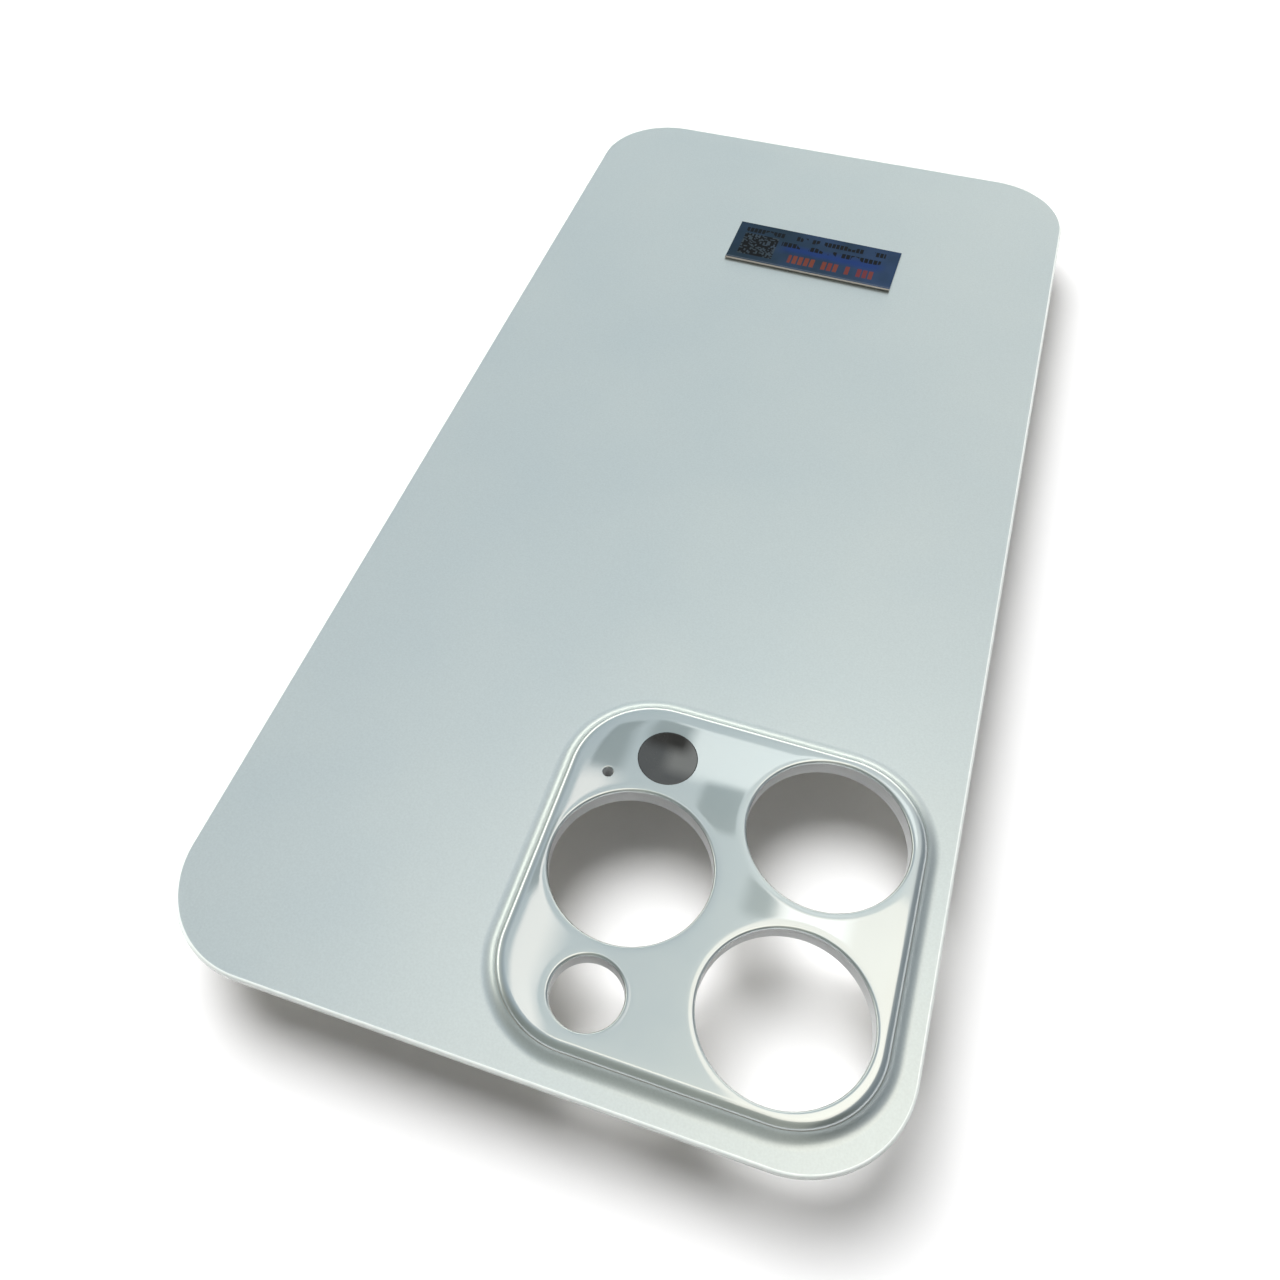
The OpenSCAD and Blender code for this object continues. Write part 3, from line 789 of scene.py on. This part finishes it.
def build_mesh():
    """Microphone mesh: a thin disc in plain weave. Height is rise * cos(pi x / p) * cos(pi y / p),
    so threads pass over and under each other every pitch p, and it dies away at the cut edge."""
    low, high = box_mm("mic_mesh")
    shell = Shell()
    ring, ring_n = circle(mic_at, mesh_r, 72)
    side = np.arange(-mesh_r, mesh_r, WEAVE_PITCH / 4)
    grid = np.stack(np.meshgrid(side, side), -1).reshape(-1, 2) + mic_at
    grid = grid[np.linalg.norm(grid - mic_at, axis=1) < mesh_r - 0.03]
    p, f = fill(ring, (), grid)
    k = np.pi / WEAVE_PITCH
    x, y = ((p - mic_at) * k).T
    calm = np.clip((mesh_r - np.linalg.norm(p - mic_at, axis=1)) / 0.1, 0, 1)
    slope = WEAVE_RISE * k * np.c_[np.sin(x) * np.cos(y), np.cos(x) * np.sin(y)]
    n = np.c_[slope, np.ones(len(p))]
    n /= np.linalg.norm(n, axis=1)[:, None]
    wave = WEAVE_RISE * calm * np.cos(x) * np.cos(y)
    shell.add((np.c_[p, high[2] - WEAVE_RISE + wave], n, f), 0)
    shell.add((np.c_[p, low[2] + WEAVE_RISE + wave], n * [1, 1, -1], f), 0)
    edge = np.array([[0, low[2] + WEAVE_RISE, 1, 0], [0, high[2] - WEAVE_RISE, 1, 0]])
    shell.add(sweep(ring, ring_n, edge), 0)
    return shell.build("mic_mesh_weave", [woven_polyester_mesh()])


LABEL_SIZE = np.array([LABEL_W, LABEL_L])
LABEL_AXES = np.array([[np.cos(LABEL_TURN), np.sin(LABEL_TURN)],
                       [-np.sin(LABEL_TURN), np.cos(LABEL_TURN)]])   # its own two ways in the frame


def turned(p):
    """Label's own millimetres, from its near left corner, to the frame's."""
    return (p - LABEL_SIZE / 2) @ LABEL_AXES + label_at


def label_height(u, v):
    """Lift of the label at (u, v): lift * exp(-v / reach), and 0.35 of it is lost by its left end."""
    return LABEL_LIFT * (0.65 + 0.35 * u / LABEL_W) * np.exp(-v / LABEL_REACH)


def build_label():
    """Label: a thin slab over (u, v), flat but for its near edge, whose rows lie closer. Its
    normals come from the slope along v, which is the lift over the reach."""
    low, high = box_mm("label_film")
    thick = high[2] - low[2]
    u = np.linspace(0, LABEL_W, 64)
    v = LABEL_L * np.linspace(0, 1, 40) ** 1.6
    grid_u, grid_v = (g.ravel() for g in np.meshgrid(u, v))
    lift = label_height(grid_u, grid_v)
    base = low[2] + lift
    slope = lift / LABEL_REACH
    n = np.stack([np.zeros_like(slope), slope, np.ones_like(slope)], 1)
    n /= np.linalg.norm(n, axis=1)[:, None]
    flat = turned(np.c_[grid_u, grid_v])
    quads = grid_quads(len(v), len(u))
    shell = Shell()
    shell.add((np.c_[flat, base + thick], n, quads), 0)
    shell.add((np.c_[flat, base], -n, quads), 1)
    ids = np.arange(len(v) * len(u)).reshape(len(v), len(u))
    for rim, way in ((ids[0], (0, -1)), (ids[-1], (0, 1)), (ids[:, 0], (-1, 0)), (ids[:, -1], (1, 0))):
        edge = np.concatenate([np.c_[flat[rim], base[rim]], np.c_[flat[rim], base[rim] + thick]])
        out = np.tile([*(way @ LABEL_AXES), 0.0], (len(edge), 1))
        shell.add((edge, out, grid_quads(2, len(rim))), 1)
    ob = shell.build("label_film_sheet", [holographic_label(), label_back()])
    co = np.empty(len(ob.data.vertices) * 3, np.float32)
    ob.data.vertices.foreach_get("co", co)
    own = (co.reshape(-1, 3)[:, :2] / MM - label_at) @ LABEL_AXES.T + LABEL_SIZE / 2
    loops = np.empty(len(ob.data.loops), np.int32)
    ob.data.loops.foreach_get("vertex_index", loops)
    uv = (own / LABEL_SPAN)[loops].astype(np.float32).ravel()
    ob.data.uv_layers.new(name="label").data.foreach_set("uv", uv)
    return ob


for piece, node, slot in ((build_pane(), "cover_glass", "silver_backed_glass"),
                          (build_window(), "sensor_window", "dark_window_glass"),
                          (build_mesh(), "mic_mesh", "acoustic_mesh"),
                          (build_label(), "label_film", "label_film")):
    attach(piece, "root")
    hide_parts(node)

for finish, nodes in ((foam_tape(), ("panel_adhesive", "camera_adhesive", "sensor_window_adhesive")),
                      (clear_acrylic_adhesive(), ("film_adhesive", "mic_mesh_adhesive", "label_adhesive")),
                      (vapour_coated_film(), ("decor_film",)),
                      (glassine_liner(), ("panel_liner", "camera_liner"))):
    for node in nodes:
        for place in frame["nodes"][node].material_slots:
            place.material = finish


# ---------------------------------------------------------------- camera, floor and light
CAMERA_AT = (18.99, -98.72, 103.83)          # millimetres
CAMERA_RIGHT = (0.9462, 0.3234, -0.0135)
CAMERA_FORWARD = (-0.1948, 0.5356, -0.8217)
CAMERA_LENS = 30.615                         # millimetres, on a sensor 36 wide
CAMERA_SHIFT = (0.0344, 0.0129)


def place_camera():
    """The camera stands over the near end of the panel and looks down along it."""
    cam = bpy.data.objects.new("camera", bpy.data.cameras.new("camera"))
    bpy.context.scene.collection.objects.link(cam)
    back = -Vector(CAMERA_FORWARD).normalized()
    right = Vector(CAMERA_RIGHT).normalized()
    up = back.cross(right).normalized()
    right = up.cross(back)
    turn = Matrix((right, up, back)).transposed()
    cam.matrix_world = Matrix.Translation(Vector(CAMERA_AT) * MM) @ turn.to_4x4()
    cam.data.sensor_width = 36
    cam.data.lens = CAMERA_LENS
    cam.data.shift_x, cam.data.shift_y = CAMERA_SHIFT
    cam.data.clip_start = 0.005
    bpy.context.scene.camera = cam


def flat_sheet(name, low, high, z):
    """One rectangle facing up or down, for the floor and the studio cards, in millimetres."""
    me = bpy.data.meshes.new(name)
    (x0, y0), (x1, y1), z = np.array(low) * MM, np.array(high) * MM, z * MM
    me.from_pydata([(x0, y0, z), (x1, y0, z), (x1, y1, z), (x0, y1, z)], [], [(0, 1, 2, 3)])
    ob = bpy.data.objects.new(name, me)
    bpy.context.scene.collection.objects.link(ob)
    return ob


def build_floor():
    """Plain white paper under the panel."""
    floor = flat_sheet("floor", (-3000, -3000), (3000, 3000), cad_box[0][2] / MM - FLOOR_GAP)
    material, tree = new_material("white_floor")
    paper = add(tree, "BsdfPrincipled", {"Base Color": colour("F4F4F4"), "Roughness": 0.9})
    add(tree, "OutputMaterial", {"Surface": paper.outputs[0]})
    floor.data.materials.append(material)


# Studio cards over the panel, seen only in its reflections: name, low and high corner, width
# of the soft edge, colour, strength. A later card hangs just below the one before it.
CARD_Z = 600
CARDS = (
    ("card_near", (-110, -120), (40, -5), 12, "FFF8EA", 2.3),
    ("card_left", (-150, -60), (-98, 262), 10, "FFF9F2", 2.2),
    ("card_right", (36, -350), (420, 235), 6, "FFF8EC", 2.05),
    ("card_far", (-67, 276), (150, 345), 5, "F4FAF8", 2.1),
    ("card_hot", (42, 182), (80, 216), 8, "FFFFFF", 3.4),
    ("flag_left", (-128, 264), (-96, 325), 5, "22303C", 0.25),
    ("flag_disc", (-86, 292), (-54, 335), 5, "22303C", 0.25),
    ("flag_middle", (-36, 239), (-5, 274), 3, "22303C", 0.25),
    ("flag_small", (13, 186), (33, 215), 5, "2A3038", 1.0),
    ("flag_side", (-176, 160), (-136, 215), 6, "22303C", 0.25),
)


def hang_card(index, name, low, high, soft, code, strength):
    """A glowing card whose edges fade out over its soft width."""
    low, high = np.array(low, float), np.array(high, float)
    card = flat_sheet(name, low - soft, high + soft, CARD_Z - index)
    card.visible_camera = card.visible_diffuse = card.visible_shadow = card.visible_transmission = False
    material, tree = new_material(name)
    flat = add(tree, "SeparateXYZ", {0: add(tree, "TexCoord").outputs["Object"]})
    mask = patch(tree, flat.outputs[0], flat.outputs[1], low * MM, high * MM, soft * MM)
    glow = add(tree, "Emission", {"Color": colour(code), "Strength": strength})
    clear = add(tree, "BsdfTransparent")
    both = add(tree, "MixShader", {0: mask, 1: clear.outputs[0], 2: glow.outputs[0]})
    add(tree, "OutputMaterial", {"Surface": both.outputs[0]})
    card.data.materials.append(material)


def hang_key():
    """A broad soft key from the far left, kept out of reflections."""
    key = bpy.data.objects.new("key", bpy.data.lights.new("key", "SUN"))
    key.data.energy, key.data.angle = 4.4, np.radians(48)
    key.data.color = colour("FFFFFF")[:3]
    key.rotation_euler = Vector((0.40, -0.40, -0.88)).to_track_quat("-Z", "Y").to_euler()
    key.visible_glossy = key.visible_transmission = False
    bpy.context.scene.collection.objects.link(key)


# Light of the surround, linear: the glow is brighter than white, the fill reaches matt surfaces
SILL_GLOW = (1.8, 1.75, 1.55, 1)
SOFT_FILL = (0.035, 0.035, 0.036, 1)


def paint_room():
    """The surround: white to the camera, almost dark to matt surfaces, and to reflections a
    room that is pale at the far end and overhead and darker on the near side and low down to
    the right, with a glow low down at the far left."""
    world = bpy.data.worlds.new("surround")
    bpy.context.scene.world = world
    world.use_nodes = True
    tree = world.node_tree
    tree.nodes.clear()
    surround = add(tree, "TexCoord")
    way = add(tree, "SeparateXYZ", {0: surround.outputs["Generated"]})
    along = add(tree, "MapRange", {"Value": way.outputs[1], "From Min": -1.0, "From Max": 1.0})
    across = add(tree, "MapRange", {"Value": way.outputs[0], "From Min": -1.0, "From Max": 1.0})
    far = add(tree, "ValToRGB", {"Fac": along.outputs[0]})
    spread_ramp(far.color_ramp, ((0.0, "86867F"), (0.3, "8A8A84"), (0.42, "A5A8AA"), (0.55, "ABAEB0"),
                                 (0.8, "AEB1B2"), (1.0, "B4B7B7")))
    side = add(tree, "ValToRGB", {"Fac": across.outputs[0]})
    spread_ramp(side.color_ramp, ((0.0, "F0F0EA"), (0.15, "C8CED0"), (0.3, "DCE4EA"), (0.44, "E2EAEE"),
                                  (0.5, "F4F8F8"), (0.56, "FFFFFF"), (0.72, "FFFFFF"), (0.8, "B0B4B8"),
                                  (1.0, "A0A6AA")))
    walls = add(tree, "MixRGB", {0: 1.0, 1: far.outputs[0], 2: side.outputs[0]}, blend_type="MULTIPLY")
    corner = add(tree, "VectorMath", {0: surround.outputs["Generated"], 1: (-0.6, 0.8, 0.0)},
                 operation="DOT_PRODUCT")
    window = add(tree, "MapRange", {"Value": corner.outputs["Value"], "From Min": 0.2, "From Max": 0.6,
                                    "To Min": 0.0, "To Max": 1.0})
    low = add(tree, "MapRange", {"Value": way.outputs[2], "From Min": 0.10, "From Max": 0.28,
                                 "To Min": 1.0, "To Max": 0.0})
    sill = add(tree, "Math", {0: window.outputs[0], 1: low.outputs[0]}, operation="MULTIPLY")
    room = add(tree, "MixRGB", {0: sill.outputs[0], 1: walls.outputs[0], 2: SILL_GLOW})
    path = add(tree, "LightPath")
    lit = add(tree, "MixRGB", {0: path.outputs["Is Diffuse Ray"], 1: room.outputs[0], 2: SOFT_FILL})
    seen = add(tree, "MixRGB", {0: path.outputs["Is Camera Ray"], 1: lit.outputs[0], 2: colour("FFFFFF")})
    sky = add(tree, "Background", {"Color": seen.outputs[0], "Strength": 2.2})
    add(tree, "OutputWorld", {"Surface": sky.outputs[0]})


place_camera()
build_floor()
for index, card in enumerate(CARDS):
    hang_card(index, *card)
hang_key()
paint_room()
bpy.context.scene.view_settings.view_transform = "Standard"
